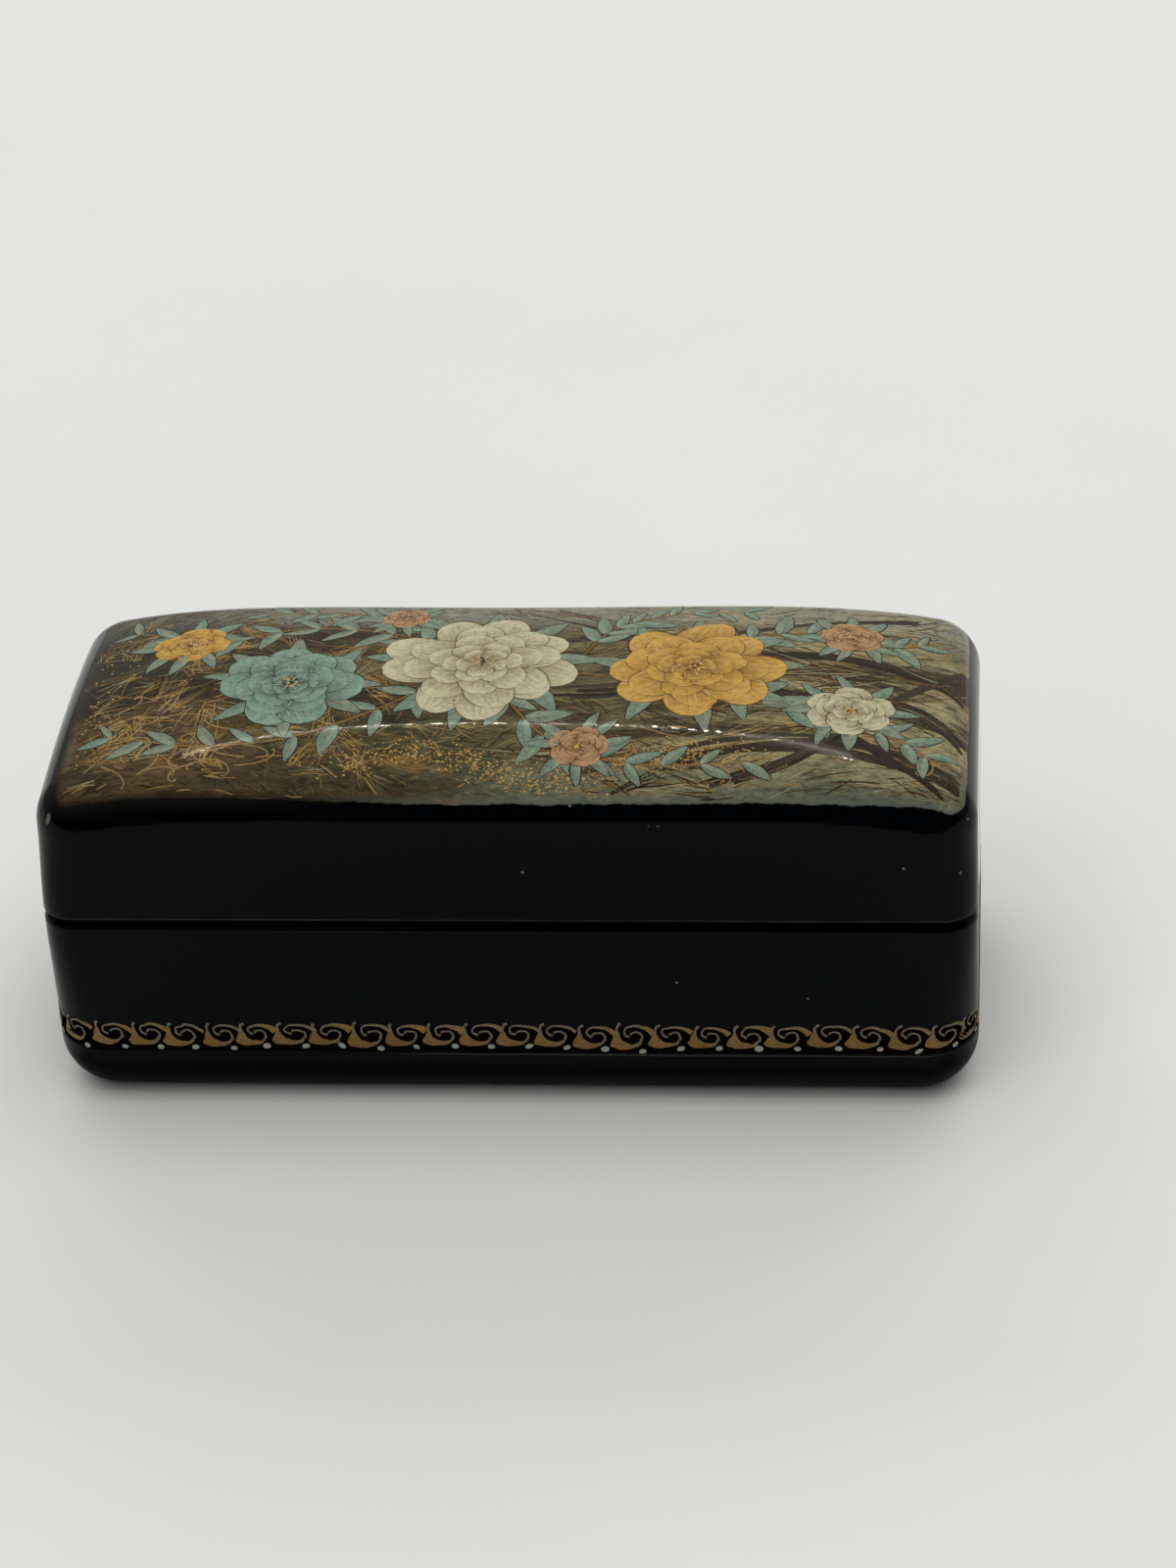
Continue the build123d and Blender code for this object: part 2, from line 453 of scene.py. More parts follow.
def panelLacquer():
    # The lid's outside: black lacquer with the mottled ground of the painted panel under the same clear coat
    look = panelLook
    material, graph, shader, place = newMaterial("painted_panel")
    times = graph.times
    x, y = graph.axes(place)

    def share(axis, start, full):
        # Rises smoothly from none at the first place to all at the second, in millimetres
        return graph.span(axis, start * mm, full * mm, smooth=True)

    def patch(scale, low, high, most, stretch, twist=0.8):
        return graph.ramp(graph.noise(place, scale, 6.0, 0.62, stretch, twist), (low, 0.0), (high, most))

    along = graph.span(x, -halfLength * mm, halfLength * mm)
    broad = graph.noise(place, 110.0, 5.0, 0.6, (0.7, 1.3, 1.0), 0.8)
    swayed = graph.math("MULTIPLY_ADD", broad, look["sway"], graph.math("ADD", along, -look["sway"] / 2))
    ground = graph.ramp(swayed, *look["tones"])
    near = share(y, -10.5, -13.6)
    farShare = graph.math("MULTIPLY_ADD", share(x, -30.0, -10.0), 0.6, 0.2)
    warmPatch = patch(260.0, 0.38, 0.62, 0.75, (0.8, 1.4, 1.0))
    layers = [
        # Patches of ochre, olive, brown and umber, and a brown mass at the right
        (patch(210.0, 0.52, 0.66, 0.7, (0.8, 1.5, 1.0)), (138, 108, 58)),
        (patch(330.0, 0.55, 0.68, 0.6, (0.7, 1.2, 1.0)), (106, 108, 82)),
        (patch(105.0, 0.47, 0.56, 0.92, (0.45, 1.5, 1.0)), (50, 42, 30)),
        (patch(620.0, 0.48, 0.66, 0.6, (0.5, 1.4, 1.0), 1.4), (38, 31, 22)),
        (times(patch(120.0, 0.5, 0.58, 0.4, (0.35, 1.4, 1.0), 1.6), share(x, 2.0, 14.0)), (60, 52, 36)),
        # Cool shade at the far left, warm light at the near left, a smudge at the far right
        (times(share(x, -16.0, -26.0), share(y, -3.0, 3.0), 0.75), (50, 50, 40)),
        (times(share(x, -15.0, -23.0), share(y, -2.5, -6.0), warmPatch), (118, 95, 58)),
        (times(share(x, 27.5, 32.5), share(y, 2.0, 9.0), 0.6), (74, 74, 58)),
        # Grey-green strip at the far side, partly painted reflection where the dome turns away, brown strip
        # at the near left, grey-green wash along the near edge
        (times(share(y, 6.0, 10.5), farShare), (138, 138, 118)),
        (times(near, share(x, 2.0, -14.0), 0.5), (72, 60, 47)),
        (times(share(x, -8.0, 4.0), 0.6, near), (106, 112, 94)),
    ]
    for amount, tint in layers:
        ground = graph.mix(amount, ground, colour(*tint))
    bristle = graph.noise(place, 1500.0, 5.0, 0.72, (0.4, 1.6, 1.0), 2.0)
    ground = graph.mix(1.0, ground, graph.ramp(bristle, *look["bristles"]), "MULTIPLY")
    # Ragged edge of the paint, with a line along it at the near side and the left
    ragged = graph.noise(place, 420.0, 7.0, 0.75)
    wavy = graph.math("MULTIPLY_ADD", ragged, look["ragged"] * 2, -look["ragged"])
    depth = graph.math("ADD", graph.attribute("panelInset", "Fac"), wavy)
    edge = graph.ramp(times(depth, 0.8), (0.1, 0.85), (0.6, 0.0))
    edgeWhere = graph.most(share(y, -7.0, -11.0), share(x, -27.0, -31.0))
    rim = graph.mix(share(x, -16.0, -2.0), look["rimLeft"], look["rimRight"])
    ground = graph.mix(times(edge, edgeWhere), ground, rim)
    covered = graph.ramp(times(depth, 4.0), (0.0, 0.0), (0.5, 1.0))
    # Thin brown sheen that runs out past the painted edge at the near left: a painted reflection on the
    # rounding
    runs = graph.ramp(graph.math("MULTIPLY_ADD", depth, 0.6, 0.8), (0.0, 0.0), (0.8, 1.0))
    sheen = times(share(x, -6.0, -24.0), look["sheenShare"], runs)
    outer = graph.mix(sheen, lacquerLook["black"], look["sheen"])
    coat(graph, shader, place, graph.mix(covered, outer, ground), lacquerLook, covered)
    return material


def strokePaint(name, metallic, roughness, index, grainScale, bumpDepth, bumpScale=2000.0):
    # Brushed paint: the stroke's own colour, mottled by grain, with a bump of dried pigment
    material, graph, shader, place = newMaterial(name)
    grain = graph.noise(place, grainScale, 5.0, 0.7)
    mottle = graph.ramp(grain, (0.3, 0.66), (0.5, 1.0), (0.72, 1.22))
    graph.fill(shader, {
        "Base Color": graph.mix(1.0, graph.attribute("paint", "Color"), mottle, "MULTIPLY"),
        "Roughness": graph.span(grain, 0.0, 1.0, roughness * 0.75, roughness * 1.3),
        "Normal": graph.bump(graph.noise(place, bumpScale, 1.0, 0.4), bumpDepth),
        "Metallic": metallic,
        "IOR": index,
    })
    return material


def hingeBrass():
    # Drawn brass: tarnish in the colour, fine lines along the barrel in the roughness and the bump
    material, graph, shader, place = newMaterial("hinge_brass")
    tones = [(0.3, colour(120, 88, 46)), (0.5, colour(186, 148, 84)), (0.75, colour(206, 172, 108))]
    drawn = graph.noise(place, 2600.0, 3.0, 0.6, (0.08, 1.0, 1.0))
    graph.fill(shader, {
        "Base Color": graph.ramp(graph.noise(place, 700.0, 6.0, 0.65), *tones),
        "Roughness": graph.span(drawn, 0.0, 1.0, 0.22, 0.5),
        "Normal": graph.bump(drawn, 0.000006, 0.6),
        "Metallic": 1.0,
    })
    return material


blackStops = [(0.3, shaded(lacquerLook["black"], 0.8)), (0.75, shaded(lacquerLook["black"], 1.3))]
redStops = [(0.25, colour(138, 23, 14)), (0.5, colour(148, 26, 16)), (0.8, colour(158, 33, 20))]
black = plainLacquer("black_lacquer", 60.0, 3.0, 0.5, blackStops, lacquerLook)
red = plainLacquer("red_lacquer", 260.0, 6.0, 0.6, redStops, redLook)
panel = panelLacquer()
goldPaint = strokePaint("gold_paint", 0.35, 0.42, 1.3, 2600.0, 0.000006)
palePaint = strokePaint("pale_paint", 0.0, 0.5, 1.3, 2600.0, 0.000006)
shadePaint = strokePaint("border_shade", 0.0, 0.3, 1.06, 2600.0, 0.000002)
panelPaint = strokePaint("panel_paint", 0.0, 0.07, lacquerLook["index"], 2200.0, lacquerLook["brushDepth"],
                         lacquerLook["brushScale"])
brass = hingeBrass()
print("finishes made")


# Rings of the two lacquered skins, which share the outline's steps and the shape of the rim

def grooveRise(x, y):
    # How far each half stands back from the seam: a bevel outside the hinge axis and a round channel at it
    bevel = np.maximum(y - hingeY, 0) * tan(radians(boxForm["grooveAngle"]))
    channel = np.sqrt(np.maximum(channelRadius**2 - (y - hingeY) ** 2, 0))
    return np.maximum(bevel, np.where(np.abs(x) < channelEnd, channel, 0))


def tripPoints(long, short, corner):
    # Even steps along each side and round each corner, with close pairs at the ends of the hinge channel
    counts = [long // 2, corner, short, corner, long, corner, short, corner, long // 2]
    places = [np.linspace(marks[k], marks[k + 1], count, endpoint=False) for k, count in enumerate(counts)]
    scale = straightX / (halfLength - baseWall - boxForm["innerCorner"])
    middle = (marks[4] + marks[5]) / 2
    pairs = [middle + side * channelEnd * scale + step for side in (-1, 1) for step in (-0.02, 0.02)]
    return np.unique(np.concatenate(places + [pairs])) / tripLength


trip = tripPoints(boxForm["longSteps"], boxForm["shortSteps"], boxForm["cornerSteps"])
unitX, unitY, outX, outY = outlineFrame(trip)


def ringAt(inset, corner, height):
    # The outline at an inset, with a height for the whole ring or for each of its points
    return joined(*outline(trip, inset, corner), height)


def rimRings(rounding, side):
    # Rim from the wall inwards: a quarter round outside, bevelled and channelled along the back, then flat
    span = halfDepth - hingeY + channelRadius + boxForm["rimPast"]
    rings = []
    for share in 1 - np.cos(np.linspace(0, pi / 2, boxForm["rimRows"])):
        inset = span * share
        x, y = outline(trip, inset, np.maximum(boxForm["seamCorner"] - inset, boxForm["rimCorner"]))
        rounded = rounding - np.sqrt(rounding**2 - max(rounding - inset, 0) ** 2)
        rings.append(joined(x, y, seamHeight + side * np.maximum(rounded, grooveRise(x, y))))
    return rings


# The base: foot, wall, rim, inner wall and floor in one lacquered skin

baseForm = {
    "footRows": 19,
    "wallRows": 14,
    "innerRows": 6,
    "undersideShares": (0.02, 0.35, 0.7, 0.92),  # of the flat foot, from the middle out
    "floorShares": (0.97, 0.8, 0.5, 0.2, 0.02),  # of the floor inside, from the wall in
    "ridgeFrom": 4.45,
    "ridgeTo": 5.0,
    "ridgeHeight": 4.62,  # faint ridge left where board and wall ring meet
    "ridgeWidth": 0.05,
    "ridgeRows": (-1.6, -1, -0.5, 0, 0.5, 1, 1.6),  # in widths from its height
    "ridgeStand": 0.022,
    "ridgeStart": -9.0,  # where along the front it begins to show, and over how far
    "ridgeFade": 6.0,
}


def makeBase():
    f, foot, inner = baseForm, boxForm["footRounding"], boxForm["innerCorner"]
    rings, tints = [], []

    def add(tint, *newRings):
        rings.extend(newRings)
        tints.extend([tint] * len(newRings))

    # Flat underside out to the foot, then the quarter round up to the wall
    for share in f["undersideShares"]:
        add(0, joined(unitX * straightX * share, unitY * straightY * share, 0.0))
    for angle in np.radians(np.linspace(-90, 0, f["footRows"])):
        add(0, ringAt(foot * (1 - cos(angle)), foot * cos(angle), foot * (1 + sin(angle))))
    # Wall, standing out along the ridge by a bell curve of the height
    centre, width = f["ridgeHeight"], f["ridgeWidth"]
    for z in [f["ridgeFrom"], *(centre + k * width for k in f["ridgeRows"]), f["ridgeTo"]]:
        ring = ringAt(0, baseCorner(z), z)
        shown = easeInOut((ring[:, 0] - f["ridgeStart"]) / f["ridgeFade"])
        bulge = f["ridgeStand"] * np.exp(-(((z - centre) / width) ** 2)) * shown
        add(0, ring + joined(bulge * outX, bulge * outY, 0.0))
    x, y = outline(trip, 0, boxForm["seamCorner"])
    wallTop = seamHeight - np.maximum(boxForm["rimRounding"], grooveRise(x, y))
    for share in even(f["wallRows"])[1:]:
        height = f["ridgeTo"] + (wallTop - f["ridgeTo"]) * share
        add(0, ringAt(0, baseCorner(height), height))
    # Rim, then down the inner wall and in over the floor
    add(0, *rimRings(boxForm["rimRounding"], -1)[1:])
    add(0, ringAt(baseWall - boxForm["innerEdge"], inner, seamHeight))
    add(1, ringAt(baseWall, inner, seamHeight - boxForm["innerEdge"]))
    for z in [*np.linspace(seamHeight - 1, floorTop + 0.3, f["innerRows"]), floorTop]:
        add(1, ringAt(baseWall, inner, z))
    x, y = outline(trip, baseWall, inner)
    for share in f["floorShares"]:
        add(1, joined(x * share, y * share, floorTop))
    base = ringSurface("base_shell", rings, tints[1:], [black, red])
    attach(base, "base")
    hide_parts("base_wall", "base_floor")


# The lid: inner dome, inner wall, lower edge, wall, rounding and pillow in one lacquered skin

lidForm = {
    "innerShares": (0.02, 0.1, 0.2, 0.3, 0.4, 0.5, 0.6, 0.7, 0.8, 0.88, 0.95, 1.0),
    "innerRows": 8,
    "wallRows": 12,
    "roundingRows": 26,
    "domeRows": 22,
    "fieldCorner": 4.0,  # how round the shrunk rectangles get halfway to the middle
    "fieldLeast": 0.05,
    "crownShare": 0.015,  # size of the last ring before the crown's middle point
    "insetRange": (-3, 30),
    "offPanel": 60.0,  # place over the lid of what is outside the panel
}


def turnTo(start, end, share):
    # Direction part of the way between two unit vectors on the great circle, and the angle between them
    angle = np.arccos(np.clip((start * end).sum(-1, keepdims=True), -1, 1)) + 1e-9
    return (np.sin((1 - share) * angle) * start + np.sin(share * angle) * end) / np.sin(angle), angle[..., 0]


def makeLid():
    f, off, seamCorner = lidForm, lidForm["offPanel"], boxForm["seamCorner"]
    radius, wall, innerCorner = boxForm["lidRounding"], boxForm["lidWall"], boxForm["innerCorner"]
    rings, tints, places = [], [], []

    def add(tint, ring, a=off, b=off):
        rings.append(ring)
        tints.append(tint)
        places.append(joined(a, b, trip)[..., :2])

    def field(share):
        # Inner rectangle shrunk to a share of itself, its corners rounder the smaller it gets
        rounding = f["fieldLeast"] + f["fieldCorner"] * share * (1 - share)
        return (unitX * ((halfLength - radius) * share - rounding) + rounding * outX,
                unitY * ((halfDepth - radius) * share - rounding) + rounding * outY)

    def upright(a, b):
        # Ball centre and the direction square to the surface of centres
        z, slopeA, slopeB = domeCentre(a, b)
        return joined(a, b, z), unit(joined(-slopeA, -slopeB, 1.0))

    # Inside: dome, its rounding and the inner wall down to the seam
    inner = radius - boxForm["lidBoard"]
    for share in f["innerShares"]:
        centre, normal = upright(*field(share))
        add(1, centre + inner * normal)
    edgeA, edgeB = field(1.0)
    level = joined(outX, outY, 0.0)
    wallShare = np.arcsin((radius - wall) / inner) / (pi / 2)
    for share in np.linspace(0, wallShare, f["innerRows"])[1:]:
        add(1, centre + inner * turnTo(normal, level, share)[0])
    topZ = rings[-1][:, 2]
    innerFoot = seamHeight + boxForm["innerEdge"]
    for share in even(f["innerRows"])[1:-1]:
        add(1, ringAt(wall, innerCorner, topZ + (innerFoot - topZ) * share))
    add(1, ringAt(wall, innerCorner, innerFoot))
    add(0, ringAt(wall - boxForm["innerEdge"], innerCorner, seamHeight))
    for ring in rimRings(boxForm["lidEdge"], 1)[::-1]:
        add(0, ring)
    # Wall up to where the rounding starts, its corners easing to the rounding's own radius
    wallFoot = rings[-1][:, 2]
    for share in even(f["wallRows"])[1:]:
        height = wallFoot + (centre[:, 2] - wallFoot) * share
        add(0, ringAt(0, seamCorner + (radius - seamCorner) * easeInOut(share), height))
    for share in np.linspace(1, 0, f["roundingRows"])[1:]:
        direction, angle = turnTo(normal, level, share)
        reach = radius * share * angle
        add(0, centre + radius * direction, edgeA + reach * outX, edgeB + reach * outY)
    for share in np.linspace(1, f["crownShare"], f["domeRows"])[1:]:
        spot, lean = upright(*field(share))
        add(0, spot + radius * lean, *field(share))
    a, b = np.moveaxis(np.array(places), -1, 0)
    inset = np.clip(panelInset(a, b), *f["insetRange"])
    lid = ringSurface("lid_shell", rings, tints[1:], [panel, red], {"panelInset": inset})
    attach(lid, "lid")
    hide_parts("lid_wall", "lid_board")


makeBase()
makeLid()
print("base and lid skins made")


# Painted strokes: thin closed ribbons laid on a surface and shaded with that surface's own direction

def square(direction):
    # A quarter turn to the left
    return np.stack([-direction[..., 1], direction[..., 0]], -1)


def lineDirection(line):
    # Change along the line over its own length
    along = np.gradient(line, axis=0)
    return along / (np.linalg.norm(along, axis=1, keepdims=True) + 1e-9)


class StrokeSheet:
    # Collects ribbons as arrays and turns them into one mesh
    def __init__(self, surface):
        self.surface = surface
        self.points, self.normals, self.quads, self.triangles, self.paints = [], [], [], [], []
        self.count = 0

    def ribbon(self, edgeA, edgeB, paints, lift, columns=4, sink=0.012):
        # Rows run from edge to edge, flat on top at the lift, both edges turned down just under the surface
        edgeA, edgeB = np.asarray(edgeA, float), np.asarray(edgeB, float)
        trace = np.vstack([edgeA, edgeB[::-1]])
        if (trace[:, 0] * np.roll(trace[:, 1], -1) - trace[:, 1] * np.roll(trace[:, 0], -1)).sum() < 0:
            edgeA, edgeB = edgeB, edgeA
        share = np.concatenate([[0.0], np.linspace(0.06, 0.94, columns - 2), [1.0]])
        spread = edgeA[:, None] + (edgeB - edgeA)[:, None] * share[None, :, None]
        profile = np.full(spread.shape[:2], lift)
        profile[:, 0] = profile[:, -1] = -sink
        profile[0] = profile[-1] = -sink
        u, v = spread[..., 0], spread[..., 1]
        solid = self.surface(u, v, profile)
        alongU = self.surface(u + 0.01, v, 0.0 * u) - self.surface(u - 0.01, v, 0.0 * u)
        alongV = self.surface(u, v + 0.01, 0.0 * u) - self.surface(u, v - 0.01, 0.0 * u)
        normal = unit(np.cross(alongU, alongV))
        rows, columns = solid.shape[:2]
        quads, triangles = ringFaces(rows, columns)
        for kept, values in ((self.points, solid), (self.normals, normal)):
            kept.append(np.vstack([values.reshape(-1, 3), values[0].mean(0), values[-1].mean(0)]))
        self.quads.append(quads[:, [0, 3, 2, 1]] + self.count)
        self.triangles.append(triangles[:, [0, 2, 1]] + self.count)
        paints = np.broadcast_to(np.asarray(paints, float), (rows, 4))
        self.paints.append(np.vstack([np.repeat(paints, columns, axis=0), paints[0], paints[-1]]))
        self.count += rows * columns + 2

    def stroke(self, line, widths, paints, lift=0.012, columns=4, sink=0.012):
        # Both edges stand half a width square to the line
        line = np.asarray(line, float)
        beside = square(lineDirection(line)) * (np.asarray(widths, float) / 2)[:, None]
        self.ribbon(line - beside, line + beside, paints, lift, columns, sink)

    def disc(self, spot, reachX, reachY, paint, lift, lean=0.0, steps=10):
        # A brush dab: an ellipse whose width follows the square root of one less the place squared
        share = np.sin(np.linspace(-1, 1, steps) * 1.45) / sin(1.45)
        line = joined(spot[0] + share * reachX, spot[1] + lean * share * reachX)
        self.stroke(line, 2 * reachY * np.sqrt(np.maximum(1 - share**2, 0.004)), paint, lift)

    def build(self, name, material, body, slot):
        quads, triangles = np.vstack(self.quads), np.vstack(self.triangles)
        piece = putMesh(name, np.vstack(self.points), quads, triangles, [material], None,
                        {"paint": np.vstack(self.paints)}, np.vstack(self.normals))
        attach(piece, body)
        print(name, "triangles:", 2 * len(quads) + len(triangles), "strokes:", len(self.points))


def smoothLine(points, steps):
    # Catmull-Rom curve through given points, evenly spaced in each span
    points = np.asarray(points, float)
    padded = np.vstack([2 * points[0] - points[1], points, 2 * points[-1] - points[-2]])
    t = np.linspace(0, len(points) - 1, steps)
    span = np.minimum(t.astype(int), len(points) - 2)
    f = (t - span)[:, None]
    p0, p1, p2, p3 = (padded[span + k] for k in range(4))
    bend, turn = 2 * p0 - 5 * p1 + 4 * p2 - p3, 3 * p1 - p0 - 3 * p2 + p3
    return 0.5 * (2 * p1 + (p2 - p0) * f + bend * f**2 + turn * f**3)


def blendPaint(first, second, share):
    # The first colour by what the share leaves, plus the second by the share
    share = np.asarray(share, float)[..., None]
    return np.asarray(first) * (1 - share) + np.asarray(second) * share


def aroundWall(cornerAt):
    # Distance round the box and height carried on to a wall, pushed out along the wall's own direction
    def surface(place, z, lift):
        outX, outY = outlineFrame(place / tripLength)[2:]
        x, y = outline(place / tripLength, 0, cornerAt(z))
        return joined(x + outX * lift, y + outY * lift, z)
    return surface


# Running scroll border round the foot of the base, brushed by hand in gold with pale dots

borderForm = {
    "units": 68,
    "firstDot": 1.31,  # place of one dot along the front
    "middle": 6.23,  # height of the scroll centres
    "tall": 0.97,  # height against width of a scroll
    "dotDrop": 0.375,
    "dotSize": 0.185,
    "dotSag": (160, 8, 0.035),  # where round the foot the dots sit lower, over how far and by how much
    "bandLow": 4.68,  # dark band that the scrolls are painted on
    "bandHigh": 7.1,
    # Pale line along the ridge of the foot: a painted highlight
    "ridgeHighlightHeight": 4.6,
    "ridgeHighlightFrom": -9.5,  # left end of the worn line, along the front
    "ridgeHighlightWidth": 0.07,
    "gold": colour(134, 106, 60),
    "goldDeep": colour(114, 85, 46),
    "line": colour(114, 103, 82),
    "dot": colour(154, 154, 138),
    "shade": colour(6, 3, 1),
    # Colour of the painted ridge highlight
    "ridgeHighlight": colour(72, 72, 72),
    "seed": 11,
}

# One scroll in shares of the pitch, measured from the scroll's centre
bodyOuter = [(-0.425, 0.25), (-0.445, 0.16), (-0.49, 0.05), (-0.545, -0.09), (-0.60, -0.19), (-0.585, -0.275),
             (-0.49, -0.325), (-0.33, -0.36), (-0.13, -0.364), (0.055, -0.323), (0.18, -0.243), (0.25, -0.13)]
bodyInner = [(-0.385, 0.25), (-0.375, 0.17), (-0.352, 0.09), (-0.322, 0.01), (-0.285, -0.05), (-0.24, -0.10),
             (-0.19, -0.135), (-0.13, -0.165), (-0.03, -0.195), (0.07, -0.19), (0.15, -0.15), (0.20, -0.08)]
innerArm = [(0.215, -0.13), (0.243, -0.05), (0.232, 0.05), (0.175, 0.12), (0.08, 0.142), (-0.02, 0.115),
            (-0.065, 0.055)]
innerWidths = [(0, 0.08), (0.25, 0.06), (0.7, 0.052), (1, 0.066)]
outerArm = [(-0.07, -0.01), (-0.18, 0.05), (-0.235, 0.14), (-0.20, 0.24), (-0.08, 0.305), (0.08, 0.325),
            (0.25, 0.30), (0.41, 0.23), (0.55, 0.11)]
outerWidths = [0.085, 0.06, 0.055, 0.055, 0.062, 0.078, 0.095, 0.13, 0.15]
tickLine = [(-0.425, 0.18), (-0.415, 0.26), (-0.38, 0.33), (-0.32, 0.375)]
# How far the hand wandered along the border: distance round the foot and shift
wander = [(0, 0.0), (12, 0.0), (21, 0.25), (30, 0.9), (60, 0.0), (150, 0.0), (160.5, 0.5), (168, 0.2),
          (190.8, 0.0)]


def makeBorder():
    f = borderForm
    random = np.random.default_rng(f["seed"])
    gold, dots, shade = (StrokeSheet(aroundWall(baseCorner)) for k in range(3))
    pitch = tripLength / f["units"]

    def loose(points, amount=0.011):
        return np.asarray(points) + amount * random.normal(0, 1, (len(points), 2))

    # Dark band all the way round, its upper edge rising over each scroll
    place = np.linspace(-tripLength / 2, tripLength / 2, 16 * f["units"])
    rise = 0.09 * np.cos(2 * pi * (place - f["firstDot"] + 0.2 * pitch) / pitch) + 0.03 * np.sin(place * 1.7)
    low, high = joined(place, f["bandLow"]), joined(place, f["bandHigh"] + rise)
    shade.ribbon(low, high, f["shade"], 0.003, 8, 0.003)
    # Scrolls, each a little different
    sagPlace, sagReach, sag = f["dotSag"]
    for k in range(f["units"]):
        wobble = random.normal(0, 1, 12)
        start = (f["firstDot"] + pitch * (k - 0.25)) % tripLength
        middle = start + np.interp(start, *np.transpose(wander)) + 0.07 * wobble[0]
        height = f["middle"] + 0.05 * wobble[1]
        scale = pitch * np.array([1 + 0.035 * wobble[2], f["tall"] * (1 + 0.04 * wobble[3])])

        def onWall(points):
            return np.array([middle, height]) + np.asarray(points) * scale

        # Body, thin and pale where it starts, full and golden below
        outer, inner = smoothLine(loose(bodyOuter, 0.012), 34), smoothLine(loose(bodyInner, 0.008), 34)
        fat = np.clip(np.hypot(*(outer - inner).T) / 0.16 - 0.3, 0, 1)
        depth = np.clip(0.25 + 0.2 * wobble[4] + 0.3 * even(34), 0, 1)
        tone = blendPaint(f["line"], blendPaint(f["gold"], f["goldDeep"], depth), fat)
        gold.ribbon(onWall(inner), onWall(outer), tone, 0.012, 6)
        arm = smoothLine(loose(innerArm), 26)
        gold.stroke(onWall(arm), np.interp(even(26), *np.transpose(innerWidths)) * pitch, f["line"], 0.0135)
        # Outer arm, swelling towards the next scroll
        droop = 0.035 * wobble[11] - 0.02
        bent = np.array(outerArm) + even(len(outerArm))[:, None] ** 2 * [0.0, droop]
        arch = smoothLine(loose(bent), 30)
        heavy = 1 + 0.55 * np.clip(wobble[5], -0.6, 1.4) * even(30) ** 2
        widths = np.interp(even(30), even(len(outerWidths)), outerWidths) * heavy
        tone = blendPaint(f["line"], f["gold"], np.clip(widths / 0.08 - 0.9, 0, 1))
        gold.stroke(onWall(arch), widths * pitch, tone, 0.013)
        # Raised tick where the body starts
        lean = even(len(tickLine))[:, None] ** 1.5 * [0.03 * wobble[10], -0.01 * wobble[9]]
        tick = smoothLine(loose(tickLine + lean, 0.008), 10)
        gold.stroke(onWall(tick), np.linspace(0.06, 0.09, 10) * pitch, f["line"], 0.014)
        reach = f["dotSize"] / 2 * pitch * (1 + 0.1 * wobble[6])
        lower = sag * np.exp(-(((start - sagPlace) / sagReach) ** 2))
        spot = onWall([(0.25 + 0.02 * wobble[7], -f["dotDrop"] - lower + 0.015 * wobble[8])])[0]
        dots.disc(spot, reach * 1.08, reach * (0.9 + 0.08 * wobble[9]), f["dot"], 0.016, 0.3 * wobble[10])
    # Pale line below the scrolls, from left of the middle to the right end: a painted highlight along the
    # ridge where the foot's rounding starts
    place = np.linspace(f["ridgeHighlightFrom"], halfLength - 1.5, 160)
    line = joined(place, f["ridgeHighlightHeight"] + 0.012 * np.sin(place * 0.9) - 0.0006 * place)
    shown = easeInOut((place - f["ridgeHighlightFrom"]) / 5) * easeInOut((halfLength - 1.0 - place) / 4)
    shade.stroke(line, f["ridgeHighlightWidth"] * shown + 0.004, f["ridgeHighlight"], 0.025)
    # The dark band and the painted ridge highlight make one piece
    shade.build("border_shade", shadePaint, "base", "black_lacquer")
    gold.build("scroll_border", goldPaint, "base", "gold_paint")
    dots.build("border_dots", palePaint, "base", "pale_paint")


makeBorder()


# Marks on the lid: a pale line along its lower edge and pale dabs at its front corners, both painted
# highlights, two small knocks on its front and a scuff at the right

wearAndHighlightForm = {
    # Pale line along the lid's lower edge: a painted highlight of its small rounding
    "edgeHeight": 0.2,  # above the seam
    "edgeWidth": 0.06,
    "edge": colour(54, 54, 56),
    "glintAndKnock": colour(92, 93, 88),
    "scuff": colour(50, 50, 52),
    "glintsAndKnocks": [  # place over the lid, reach along and across, colour, lean
        # The first and third, at the front corners, are painted highlights; the second is a scuff and the
        # last two are small knocks
        ((-33.2, -14.25), 0.36, 0.3, "glintAndKnock", 0.8),
        ((-33.3, -14.05), 0.11, 0.08, "scuff", 0.3),
        ((34.2, -13.5), 0.13, 0.1, "glintAndKnock", 0.5),
        ((11.6, -16.04), 0.08, 0.05, "glintAndKnock", 0.1),
        ((10.9, -16.02), 0.06, 0.05, "glintAndKnock", 0.1),
    ],
    "scuffStart": (28.3, -16.15),
    "scuffReach": (2.2, 0.2),
    "scuffWidth": 0.07,
}


